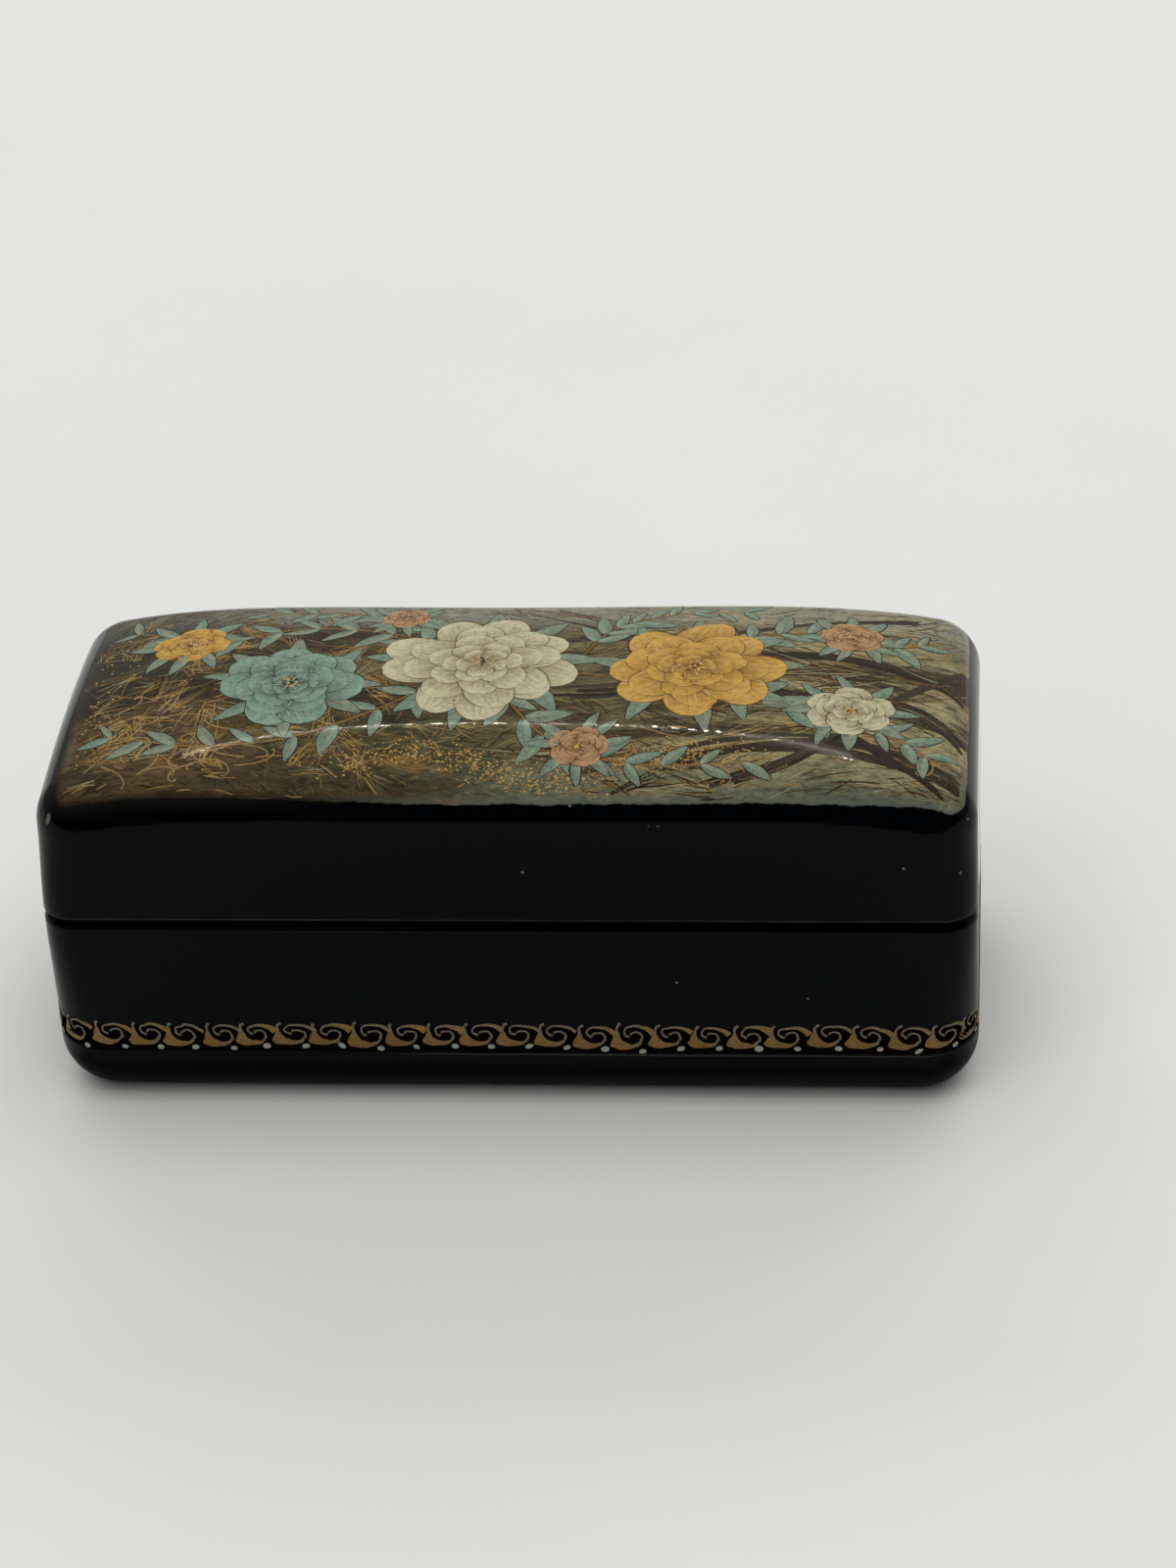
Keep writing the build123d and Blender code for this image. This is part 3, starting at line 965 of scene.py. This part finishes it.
def makeWearAndHighlights():
    f = wearAndHighlightForm
    # Painted highlight along the lid's lower edge
    edge = StrokeSheet(aroundWall(lambda z: boxForm["seamCorner"]))
    place = np.linspace(-marks[3], marks[3], 700)
    waver = 1 + 0.25 * np.sin(place * 1.3) + 0.2 * np.sin(place * 0.37 + 1)
    edge.stroke(joined(place, seamHeight + f["edgeHeight"]), f["edgeWidth"] * waver, f["edge"], 0.006)
    edge.build("lid_edge_highlight", shadePaint, "lid", "black_lacquer")
    # Dabs at the front corners are painted highlights, the rest knocks and scuffs
    glintsAndKnocks = StrokeSheet(domePoint)
    for spot, along, across, tint, lean in f["glintsAndKnocks"]:
        glintsAndKnocks.disc(spot, along, across, f[tint], 0.01, lean)
    t = even(16)
    scuff = np.array(f["scuffStart"]) + np.array(f["scuffReach"]) * joined(t, t**2)
    glintsAndKnocks.stroke(scuff, f["scuffWidth"] * np.sin(pi * (0.03 + 0.94 * t)), f["scuff"], 0.008)
    glintsAndKnocks.build("lid_corner_glints_and_wear", palePaint, "lid", "black_lacquer")


makeWearAndHighlights()


# Generic flower spray on the painted panel

paints = {
    "ochre": colour(190, 150, 76),
    "ochreDeep": colour(142, 100, 44),
    "cream": colour(188, 180, 148),
    "creamDeep": colour(136, 122, 90),
    "turquoise": colour(126, 150, 130),
    "turquoiseDeep": colour(74, 92, 78),
    "rose": colour(172, 136, 98),
    "roseDeep": colour(122, 88, 58),
    "gold": colour(160, 128, 72),
    "goldBright": colour(190, 156, 92),
    "dark": colour(38, 30, 24),
    "brown": colour(98, 74, 44),
    "umber": colour(62, 50, 40),
    "bark": colour(80, 72, 54),
    "beige": colour(150, 140, 106),
    "sky": colour(140, 148, 138),
}
sprayForm = {
    "seed": 5,
    "farLimit": 12.4,  # nothing is painted beyond this far from the middle, towards the back
    "marks": 2300,  # fine brush marks of the ground
    "reedStrokes": 6,
    "marksField": ((-32.15, 33.5), (-14.35, 12.2)),  # where each kind starts, along and across the lid
    "leftField": ((-31, -3), (-13, 9)),
    "rightField": ((4, 32), (-13.4, 9)),
    "runnersField": ((-31, -18), (-12.9, -4.0)),
    "leftTufts": 84,
    "leftBlades": 14,
    "leftTints": ("gold", "brown", "beige", "dark", "umber", "gold"),
    "rightTufts": 30,
    "rightBlades": 11,
    "rightTints": ("brown", "umber", "beige", "dark", "brown"),
    "stipples": 900,
    "runners": 34,
    "bareShare": 0.15,  # of the places for leaves along the stems
    "hearts": 14,  # dabs in the middle of a blossom
    "ringShares": (1.0, 0.8, 0.6, 0.42, 0.27),  # reach of each ring of petals against the outermost
    "ringLeast": 0.9,
    "ringStep": 0.0012,  # how much higher each ring and each petal lies
    "petalStep": 0.0002,
    "petalTip": 0.62,  # share of a petal's length from which its tip rounds off
    "petalRim": 0.09,
}
# How far each kind of stroke stands off the lid, so that they keep their order
lifts = {
    "marks": 0.003, "reeds": 0.0044, "blades": 0.0045, "runners": 0.0076, "stipple": 0.008,
    "stemEdge": 0.0085, "stem": 0.0095, "tendrils": 0.0105, "leaves": 0.0115, "blossoms": 0.019,
}
# Blossoms: place over the lid, reach, outer petals, colours
blossoms = [
    ((13.4, 0.4), 6.6, 8, "ochre", "ochreDeep"),
    ((-2.4, 1.2), 7.4, 9, "cream", "creamDeep"),
    ((-16.4, -1.6), 5.2, 7, "turquoise", "turquoiseDeep"),
    ((-24.6, 5.2), 2.9, 6, "ochre", "ochreDeep"),
    ((24.8, -4.6), 3.1, 6, "cream", "creamDeep"),
    ((5.6, -9.2), 2.2, 5, "rose", "roseDeep"),
    ((24.6, 6.2), 2.3, 5, "rose", "roseDeep"),
    ((-9.0, 9.0), 1.9, 5, "rose", "roseDeep"),
]
# Dark reeds that sweep under the flowers: points over the lid and width
reeds = [
    ([(1.0, -3.4), (10.0, -2.2), (19.0, 2.4), (27.0, 2.2), (33.0, -0.6)], 1.5),
    ([(5.0, 7.4), (13.0, 5.6), (22.0, 8.2), (29.5, 10.4)], 0.9),
    ([(8.0, -12.8), (16.0, -9.4), (25.0, -8.8), (33.0, -11.6)], 1.3),
    ([(14.0, -13.6), (21.0, -10.6), (27.0, -3.6), (33.0, 4.0)], 1.0),
    ([(0.0, 10.0), (9.0, 5.0), (18.0, -1.5), (26.0, -8.6), (31.5, -13.4)], 0.8),
    ([(12.0, 3.4), (20.0, -2.6), (28.0, -3.4), (33.0, -6.6)], 1.2),
]
# Stems, as points over the lid
stems = [
    [(-2.4, 1.2), (-9.0, -4.6), (-16.0, -8.4), (-23.0, -9.0), (-29.0, -7.0)],
    [(-2.4, 1.2), (-9.0, 5.6), (-16.0, 7.0), (-23.0, 5.6), (-29.4, 8.6)],
    [(13.4, 0.4), (17.0, 5.0), (22.0, 6.4), (27.0, 5.2), (31.2, 7.6)],
    [(13.4, 0.4), (18.0, -4.0), (23.0, -5.4), (28.0, -7.6), (31.6, -10.6)],
    [(-2.4, 1.2), (1.0, -5.6), (5.0, -9.6), (11.0, -11.2), (18.0, -11.0)],
    [(5.0, 2.0), (7.0, 6.4), (11.0, 9.4), (17.0, 10.2)],
    [(-6.0, 4.0), (-9.0, 8.4), (-14.0, 10.0), (-20.0, 10.2)],
]


def tintOf(first, second, share):
    # A share of the way from one named paint to another
    return blendPaint(paints[first], paints[second], share)


def pointing(angle):
    # The unit vector at an angle from the box's length
    return np.array([cos(angle), sin(angle)])


def spotIn(random, field):
    # A chance place in a field: along the lid first, then across it
    return [random.uniform(*reach) for reach in sprayForm[field]]


def reachLine(root, direction, length, bend, steps=12):
    # From the root outwards, leaning to one side as the square of the distance
    t = even(steps)[:, None]
    out = pointing(direction)
    return np.asarray(root) + t * length * out + t**2 * bend * square(out)


def within(line, margin=0.35):
    # Whether the whole line keeps a margin from the panel's edge
    return panelInset(line[:, 0], line[:, 1]).min() > margin and line[:, 1].max() < sprayForm["farLimit"]


def addPetal(sheet, random, centre, direction, length, width, light, deep, level):
    # Broad petal, its width a sine that rounds off at the tip: dark edge, shaded fill, fine lines along it
    steps, columns = int(np.clip(length / 0.4, 9, 18)), int(np.clip(width / 0.42, 5, 12))
    tip, edge = sprayForm["petalTip"], sprayForm["petalRim"]
    t = (1 - np.cos(np.linspace(0, pi, steps))) / 2
    rise = np.sin(pi / 2 * np.minimum(t / tip, 1)) ** 0.8
    half = width / 2 * rise * np.sqrt(np.maximum(1 - (np.maximum(t - tip, 0) / (1 - tip)) ** 2, 0)) + 0.02
    bend = random.normal(0, 0.07) * length
    out = pointing(direction)
    side = half[:, None] * square(out)
    away = (0.08 + 0.92 * t[:, None]) * length
    spine = np.asarray(centre) + away * out + (t**2)[:, None] * bend * square(out)
    tone = tintOf(deep, light, np.clip((t - 0.42) / 0.48 + random.normal(0, 0.06), 0, 1))
    wider = side * (1 + edge / np.maximum(half, edge))[:, None]
    rimLeft, rimRight = spine - wider, spine + wider
    rimLeft[-1] += out * 0.08
    rimRight[-1] += out * 0.08
    sheet.ribbon(rimLeft, rimRight, tintOf(deep, "dark", 0.72), level, columns)
    sheet.ribbon(spine - side, spine + side, tone, level + 0.0005, columns)
    for across in np.linspace(-0.78, 0.78, 7 if width > 1.5 else 4):
        line = spine + side * across
        line = line[2:-3] if abs(across) > 0.5 else line[1:-2]
        tint = tintOf(light, "cream", 0.55) if random.random() < 0.45 else tintOf(light, deep, 0.8)
        sheet.stroke(line, 0.05 + 0.03 * np.sin(np.linspace(0, pi, len(line))), tint, level + 0.001)


def addBlossom(sheet, random, centre, reach, petals, light, deep, level):
    # Rings of petals from the largest to the heart, each ring with one petal fewer and turned at random
    for ring, share in enumerate(sprayForm["ringShares"]):
        if reach * share < sprayForm["ringLeast"]:
            continue
        count = max(petals - ring, 4)
        start = random.uniform(0, 2 * pi)
        for k in random.permutation(count):
            direction = start + 2 * pi * k / count + random.normal(0, 0.07)
            length = reach * share * (1 + random.normal(0, 0.04))
            width = 2 * pi * length / count * 0.86
            addPetal(sheet, random, centre, direction, length, width, light, deep, level)
            level += sprayForm["petalStep"]
        level += sprayForm["ringStep"]
    for k in range(sprayForm["hearts"]):
        direction, length = random.uniform(0, 2 * pi), reach * random.uniform(0.02, 0.13)
        spot = np.asarray(centre) + length * pointing(direction)
        sheet.disc(spot, 0.13, 0.12, paints["goldBright" if k % 3 else "dark"], level, 0, 6)


def addLeaf(sheet, random, root, direction, length, light, level):
    # Two halves of unlike tone either side of a midrib, over a dark edge
    if not within(reachLine(root, direction, length, 0), 0.6):
        return
    steps, deep = 14, paints["turquoiseDeep"]
    spine = reachLine(root, direction, length, random.normal(0, 0.14) * length, steps)
    along = lineDirection(spine)
    side = square(along)
    t = even(steps)
    half = (length * random.uniform(0.14, 0.19) * np.sin(pi * t**0.8) ** 0.85 + 0.02)[:, None]
    sheet.ribbon(spine - side * (half + 0.08), spine + side * (half + 0.08), paints["dark"], level, 6)
    sheet.ribbon(spine - side * half, spine, blendPaint(deep, light, 0.3 + 0.4 * t), level + 0.0005, 5)
    sheet.ribbon(spine, spine + side * half, blendPaint(light, deep, 0.5 * t), level + 0.0006, 5)
    sheet.stroke(spine[:-1], 0.07 - 0.03 * t[:-1], paints["beige"], level + 0.0011)
    for k in range(2, 11, 2):
        for turn in (-1, 1):
            rib = spine[k] + np.linspace(0, 0.85, 4)[:, None] * half[k] * (side[k] * turn + along[k] * 0.8)
            sheet.stroke(rib, np.full(4, 0.04), blendPaint(light, paints["cream"], 0.35), level + 0.001)


def addTendril(sheet, root, direction, length, turn, tint, width=0.09, lift=lifts["tendrils"]):
    # A line that winds ever tighter, like a vine's tip
    t = even(34)
    heading = direction + turn * (t * 1.6 + 4.2 * t**3)
    step = length / 33 * (1 - 0.72 * t)
    line = np.asarray(root) + np.cumsum(joined(np.cos(heading) * step, np.sin(heading) * step), axis=0)
    if within(line):
        sheet.stroke(line, width * (1.1 - 0.5 * t), tint, lift)
        sheet.disc(line[-1], 0.09, 0.08, tint, lift + 0.0003, 0, 6)


def addTuft(sheet, random, root, direction, spread, length, count, tints, width):
    # A fan of fine curved blades from one root
    t = even(9)
    for k in range(count):
        heading = direction + random.uniform(-spread, spread)
        reach = length * random.uniform(0.45, 1.0)
        start = np.asarray(root) + random.normal(0, 0.3, 2)
        line = reachLine(start, heading, reach, random.normal(0, 0.3) * reach, 9)
        if within(line):
            widths = width * random.uniform(0.7, 1.4) * (1.15 - t)
            tint = paints[tints[random.integers(len(tints))]]
            sheet.stroke(line, widths, tint, lifts["blades"] + 0.003 * random.random())


def addMarks(sheet, random):
    # Fine brush marks everywhere in lines that drift together, darker at the left, paler at the right
    t = even(8)
    for k in range(sprayForm["marks"]):
        a, b = spotIn(random, "marksField")
        pale = np.clip((a + 4) / 30, 0, 1)
        length = random.uniform(1.0, 3.4) * (0.8 + 0.7 * pale)
        swirl = np.sin(0.23 * a + 0.31 * b + 1.2 * np.sin(0.19 * b - 0.11 * a))
        heading = 0.9 * swirl * (1 - 0.6 * pale) + random.normal(0, 0.16) + random.normal(0, 0.35) * t
        line = np.array([a, b]) + np.cumsum(joined(np.cos(heading), np.sin(heading)), axis=0) * length / 7
        if not within(line, 0.12):
            continue
        choice = random.random()
        if choice < 0.4:
            tint = tintOf("dark", "brown", random.uniform(0, 0.6))
        elif choice < 0.75:
            share = pale * random.uniform(0.5, 1.2) + random.uniform(0, 0.2)
            tint = tintOf("umber", "beige", np.clip(share, 0, 1))
        elif b > 5:
            tint = tintOf("umber", "sky", random.uniform(0.3, 0.9))
        else:
            tint = tintOf("brown", "gold", random.random())
        widths = random.uniform(0.05, 0.17) * np.sin(pi * (0.04 + 0.92 * t)) ** 0.6
        sheet.stroke(line, widths, tint, lifts["marks"] + 0.0012 * random.random())


def addReeds(sheet, random):
    # Strokes beside each reed's curve that wave as a sine and taper to both ends
    steps = 90
    t = even(steps)
    for points, width in reeds:
        middle = smoothLine(points, steps)
        for k in range(sprayForm["reedStrokes"]):
            aside = width * random.normal(0, 0.3) * np.array([0.2, 1.0])
            line = middle + aside + 0.1 * random.normal(0, 1, 2)
            line[:, 1] += 0.22 * width * np.sin(t * random.uniform(3, 9) + random.uniform(0, 6))
            first = int(steps * random.uniform(0, 0.25))
            kept = (panelInset(line[:, 0], line[:, 1]) > 0.2) & (np.arange(steps) >= first)
            tint = tintOf("dark", "bark", random.uniform(0.1, 0.6))
            widths = width * random.uniform(0.35, 0.62) * np.sin(pi * (0.03 + 0.9 * t)) ** 0.5
            sheet.stroke(line[kept], widths[kept], tint, lifts["reeds"] + 0.0001 * k)


def addTufts(sheet, random):
    # Fans of fine blades: gold and olive over the left end, long brown ones over the right end
    f = sprayForm
    for k in range(f["leftTufts"]):
        root = spotIn(random, "leftField")
        near = np.clip(-(root[0] + 14) / 8, 0, 1) * np.clip(-(root[1] + 2) / 4, 0, 1)
        addTuft(sheet, random, root, random.uniform(0, 2 * pi), 0.6, random.uniform(2.4, 5.6),
                f["leftBlades"], f["leftTints"], 0.062 + 0.035 * near)
    for k in range(f["rightTufts"]):
        root = spotIn(random, "rightField")
        direction = random.choice([0.15, pi - 0.15]) + random.normal(0, 0.15)
        addTuft(sheet, random, root, direction, 0.26, random.uniform(4.0, 10.5),
                f["rightBlades"], f["rightTints"], 0.12)


def addStipple(sheet, random):
    # Gold dabs in drifts near the front, and every twelfth along the left end
    for k in range(sprayForm["stipples"]):
        drift = random.random()
        if k % 12:
            a = -12 + 30 * drift + random.normal(0, 1.0)
            b = -11.2 + 1.3 * sin(drift * 9) + random.normal(0, 0.7)
        else:
            a, b = -30.9 + 1.6 * abs(random.normal(0, 1)), -11 + 20 * drift
        if panelInset(np.array(a), np.array(b)) > 0.5:
            sheet.disc((a, b), random.uniform(0.06, 0.12), random.uniform(0.045, 0.08),
                       paints["goldBright" if random.random() < 0.45 else "gold"], lifts["stipple"],
                       random.normal(0, 0.5), 6)


def addRunners(sheet, random):
    # Curled gold runners over the near left, each just above the last
    for k in range(sprayForm["runners"]):
        root = spotIn(random, "runnersField")
        heading = (0.0 if k % 2 else pi) + random.normal(0, 0.35)
        curl = (1 if k % 3 else -1) * random.uniform(0.25, 0.8)
        tint = tintOf("gold", "beige", random.uniform(0, 0.7))
        length, lift = random.uniform(3.0, 7.5), lifts["runners"] + 0.00002 * k
        addTendril(sheet, root, heading, length, curl, tint, 0.1, lift)


def addStems(sheet, random):
    # A gold stem over a dark one, with leaves on both sides and three tendrils
    t = even(60)
    for points in stems:
        line = smoothLine(points, len(t))
        sheet.stroke(line, 0.5 - 0.34 * t, paints["dark"], lifts["stemEdge"])
        sheet.stroke(line, 0.3 - 0.2 * t, tintOf("brown", "gold", t), lifts["stem"])
        along = np.gradient(line, axis=0)
        headings = np.arctan2(along[:, 1], along[:, 0])
        for k in range(10, 59, 6):
            for side in (-1, 1):
                if random.random() < sprayForm["bareShare"]:
                    continue
                length = random.uniform(3.0, 4.8) * (1 - 0.4 * t[k])
                light = tintOf("turquoise", "beige", random.uniform(0, 0.35))
                direction = headings[k] + side * random.uniform(0.5, 1.05)
                addLeaf(sheet, random, line[k], direction, length, light, lifts["leaves"] + 0.0001 * k)
        for k, side in ((22, -1), (38, 1), (54, -1)):
            addTendril(sheet, line[k], headings[k] + side * 0.5, 5.0, side * 1.1, paints["gold"])


def makeSpray():
    # Each sheet holds one kind of stroke and becomes one piece
    random = np.random.default_rng(sprayForm["seed"])
    names = ("ground_strokes", "gold_lines", "leaves", "large_blossoms", "small_blossoms")
    ground, golden, leaves, largeBlooms, smallBlooms = sheets = [StrokeSheet(domePoint) for name in names]
    addMarks(ground, random)
    addReeds(ground, random)
    addTufts(golden, random)
    addStipple(golden, random)
    addRunners(golden, np.random.default_rng(sprayForm["seed"] + 1))
    addStems(leaves, random)
    # Blossoms from the smallest to the largest, each over its own ring of leaves
    level = lifts["blossoms"]
    for centre, reach, petals, light, deep in sorted(blossoms, key=lambda bloom: bloom[1]):
        for k in range(8):
            direction = 2 * pi * k / 8 + random.normal(0, 0.15)
            root = np.asarray(centre) + reach * 0.6 * pointing(direction)
            tone = tintOf("turquoise", "beige", random.uniform(0, 0.4))
            addLeaf(leaves, random, root, direction, reach * 0.35 + 1.9, tone, level - 0.002 + 0.0001 * k)
        blooms = largeBlooms if reach > 4 else smallBlooms
        addBlossom(blooms, random, centre, reach, petals, light, deep, level)
    for name, sheet in zip(names, sheets):
        sheet.build("panel_" + name, panelPaint, "lid", "painted_panel")


makeSpray()


# CAD nodes that keep their shape

finishes = {"base_collar": red, "hinge_base_leaf": brass, "hinge_lid_leaf": brass, "hinge_pin": brass}
for node, finish in finishes.items():
    for place in frame["nodes"][node].material_slots:
        place.material = finish
print("collar and hinge finished")


# Floor, world, lamps and camera

stageForm = {
    "floorSize": 6.0,
    "floorColour": colour(230, 231, 227),
    "floorDrop": 0.02,  # below the box, in millimetres
    "floorRows": 25,
    "floorRoughness": 0.85,
    # From here to contactShare: painted shade on the floor that only mirrored rays see, dark in front, half
    # as dark far off, and a painted contact shadow round the foot
    "roomDark": 0.02,
    "darkFrom": -0.10,  # where the floor in front starts to fade, for mirrored rays alone
    "darkTo": -0.26,
    "farFrom": 0.3,  # and the same all round, half as dark
    "farTo": 0.9,
    "contactFrom": 0.8,  # strip of floor round the foot that mirrored rays see dark, in millimetres
    "contactReach": 5.0,
    "contactShare": 0.3,
    "worldBack": 0.86,
    "worldFront": 0.02,
    "worldSeen": 0.8,
    "worldStrength": 0.42,
    "lamps": {  # place, target, size and power of what lights the scene but isn't mirrored
        "overhead": ((0.05, -0.05, 1.1), (0, -0.05, 0), (1.2, 1.0), 5.8),
        "back_wash": ((0.0, 0.9, 0.5), (0, 0.3, 0), (1.4, 0.4), 5.0),
        "front_fill": ((-0.1, -0.75, 0.95), (0, 0, 0), (1.6, 0.8), 5.8),
    },
    # A bar and a row of beads behind the box, only mirrored, that make the streak of light along the lid
    "streakTarget": (0, 0, 0.028),
    "streakTint": (1.0, 0.92, 0.78),
    "barPlace": (-0.03, 0.42, 0.45),
    "barSize": (0.28, 0.004),
    "barPower": 0.007,
    "beads": 46,
    "beadsFrom": -0.17,
    "beadsTo": 0.07,
    "beadRow": (0.418, 0.447),
    "beadSize": (0.0016, 0.0016),
    "beadPower": 0.0018,
}


def makeFloor():
    # A flat grid, pale paper to the camera; for mirrored rays it is painted dark as shade from a hand's
    # breadth in front, far off and in a contact shadow round the foot
    f = stageForm
    rows = f["floorRows"]
    steps = np.linspace(-f["floorSize"], f["floorSize"], rows) / mm
    points = joined(*np.meshgrid(steps, steps, indexing="ij"), -f["floorDrop"]).reshape(-1, 3)
    row, column = np.meshgrid(np.arange(rows - 1), np.arange(rows - 1), indexing="ij")
    corner = (row * rows + column).ravel()
    quads = np.stack([corner, corner + rows, corner + rows + 1, corner + 1], -1)
    material, graph, shader, place = newMaterial("floor_paper")
    pale = f["floorColour"]
    tone = graph.ramp(graph.noise(place, 9.0, 6.0, 0.6), (0.3, shaded(pale, 0.96)), (0.7, pale))
    x, y = graph.axes(place)
    # Painted shade for mirrored rays alone: in front, far off and a painted contact shadow round the foot
    beyond = graph.span(y, f["darkFrom"], f["darkTo"], smooth=True)
    overX = graph.math("ADD", graph.math("ABSOLUTE", x), -halfLength * mm)
    overY = graph.math("ADD", graph.math("ABSOLUTE", y), -halfDepth * mm)
    contactShadow = graph.span(graph.most(overX, overY), f["contactFrom"] * mm, f["contactReach"] * mm,
                         1 - f["contactShare"], 0.0, True)
    away = graph.add("ShaderNodeVectorMath", {"Vector": place}, operation="LENGTH").outputs["Value"]
    far = graph.span(away, f["farFrom"], f["farTo"], 0.0, 0.5, True)
    mirrored = graph.add("ShaderNodeLightPath").outputs["Is Glossy Ray"]
    dim = graph.times(graph.most(beyond, contactShadow, far), mirrored)
    shown = graph.mix(dim, tone, grey(f["roomDark"]))
    graph.fill(shader, {"Base Color": shown, "Roughness": f["floorRoughness"]})
    floor = putMesh("floor", points, quads, np.zeros((0, 3), int), [material])


def makeWorld():
    # Pale room, darker behind the camera; the camera itself sees plain paper white
    f = stageForm
    world = bpy.data.worlds.new("studio")
    bpy.context.scene.world = world
    graph = Graph(world)
    y = graph.axes(graph.add("ShaderNodeTexCoord").outputs["Generated"])[1]
    dim = graph.ramp(graph.math("MULTIPLY", y, -1.0), (0.0, 0.0), (0.25, 1.0))
    tone = graph.mix(dim, grey(f["worldBack"]), grey(f["worldFront"]))
    seen = graph.add("ShaderNodeLightPath").outputs["Is Camera Ray"]
    graph.fill(graph.nodes["Background"], {
        "Color": graph.mix(seen, tone, grey(f["worldSeen"])), "Strength": f["worldStrength"]})


def setUp(name, data, right, up, back, place):
    # An object whose own axes point to its right, up and back
    holder = bpy.data.objects.new(name, data)
    turn = np.eye(4)
    turn[:3] = joined(right, up, back, place)
    holder.matrix_world = Matrix(turn.tolist())
    bpy.context.scene.collection.objects.link(holder)
    return holder


def addLamp(name, place, target, size, power, mirrored=False, tint=(1.0, 1.0, 1.0)):
    # An area lamp turned to its target, seen either only by mirrored rays or only by the others
    lamp = bpy.data.lights.new(name, "AREA")
    lamp.shape = "RECTANGLE"
    lamp.size, lamp.size_y = size
    lamp.energy = power
    lamp.color = tint
    back = unit(np.asarray(place, float) - np.asarray(target, float))
    right = unit(np.cross([0, 1, 0] if abs(back[2]) > 0.95 else [0, 0, 1], back))
    holder = setUp(name, lamp, right, np.cross(back, right), back, place)
    holder.visible_glossy, holder.visible_diffuse = mirrored, not mirrored


cameraForm = {
    "place": (0.037246, -0.318182, 0.205338),
    "pitch": 30.214,
    "yaw": -5.756,
    "roll": -2.854,
    "lens": 112.764,
    "sensor": 36.0,
    "clip": (0.01, 30.0),
}


def makeCamera():
    # Aim from pitch and yaw, then the roll about that line
    f = cameraForm
    pitch, yaw, roll = radians(f["pitch"]), radians(f["yaw"]), radians(f["roll"])
    forward = np.array([sin(yaw) * cos(pitch), cos(yaw) * cos(pitch), -sin(pitch)])
    level = np.array([cos(yaw), -sin(yaw), 0.0])
    above = np.cross(level, forward)
    right, up = cos(roll) * level + sin(roll) * above, -sin(roll) * level + cos(roll) * above
    lens = bpy.data.cameras.new("photo_camera")
    lens.lens, lens.sensor_width = f["lens"], f["sensor"]
    lens.clip_start, lens.clip_end = f["clip"]
    bpy.context.scene.camera = setUp("photo_camera", lens, right, up, -forward, f["place"])


def makeLamps():
    # The lamps that light the scene, then the bar and the even row of beads that are only mirrored
    f = stageForm
    for name, values in f["lamps"].items():
        addLamp(name, *values)
    addLamp("back_bar", f["barPlace"], f["streakTarget"], f["barSize"], f["barPower"], True, f["streakTint"])
    for k, across in enumerate(np.linspace(f["beadsFrom"], f["beadsTo"], f["beads"])):
        addLamp("back_bead_%02d" % k, (across, *f["beadRow"]), f["streakTarget"], f["beadSize"],
                f["beadPower"], True, f["streakTint"])


makeFloor()
makeWorld()
makeLamps()
makeCamera()
bpy.context.scene.view_settings.view_transform = "Standard"
print("stage, lamps and camera set")
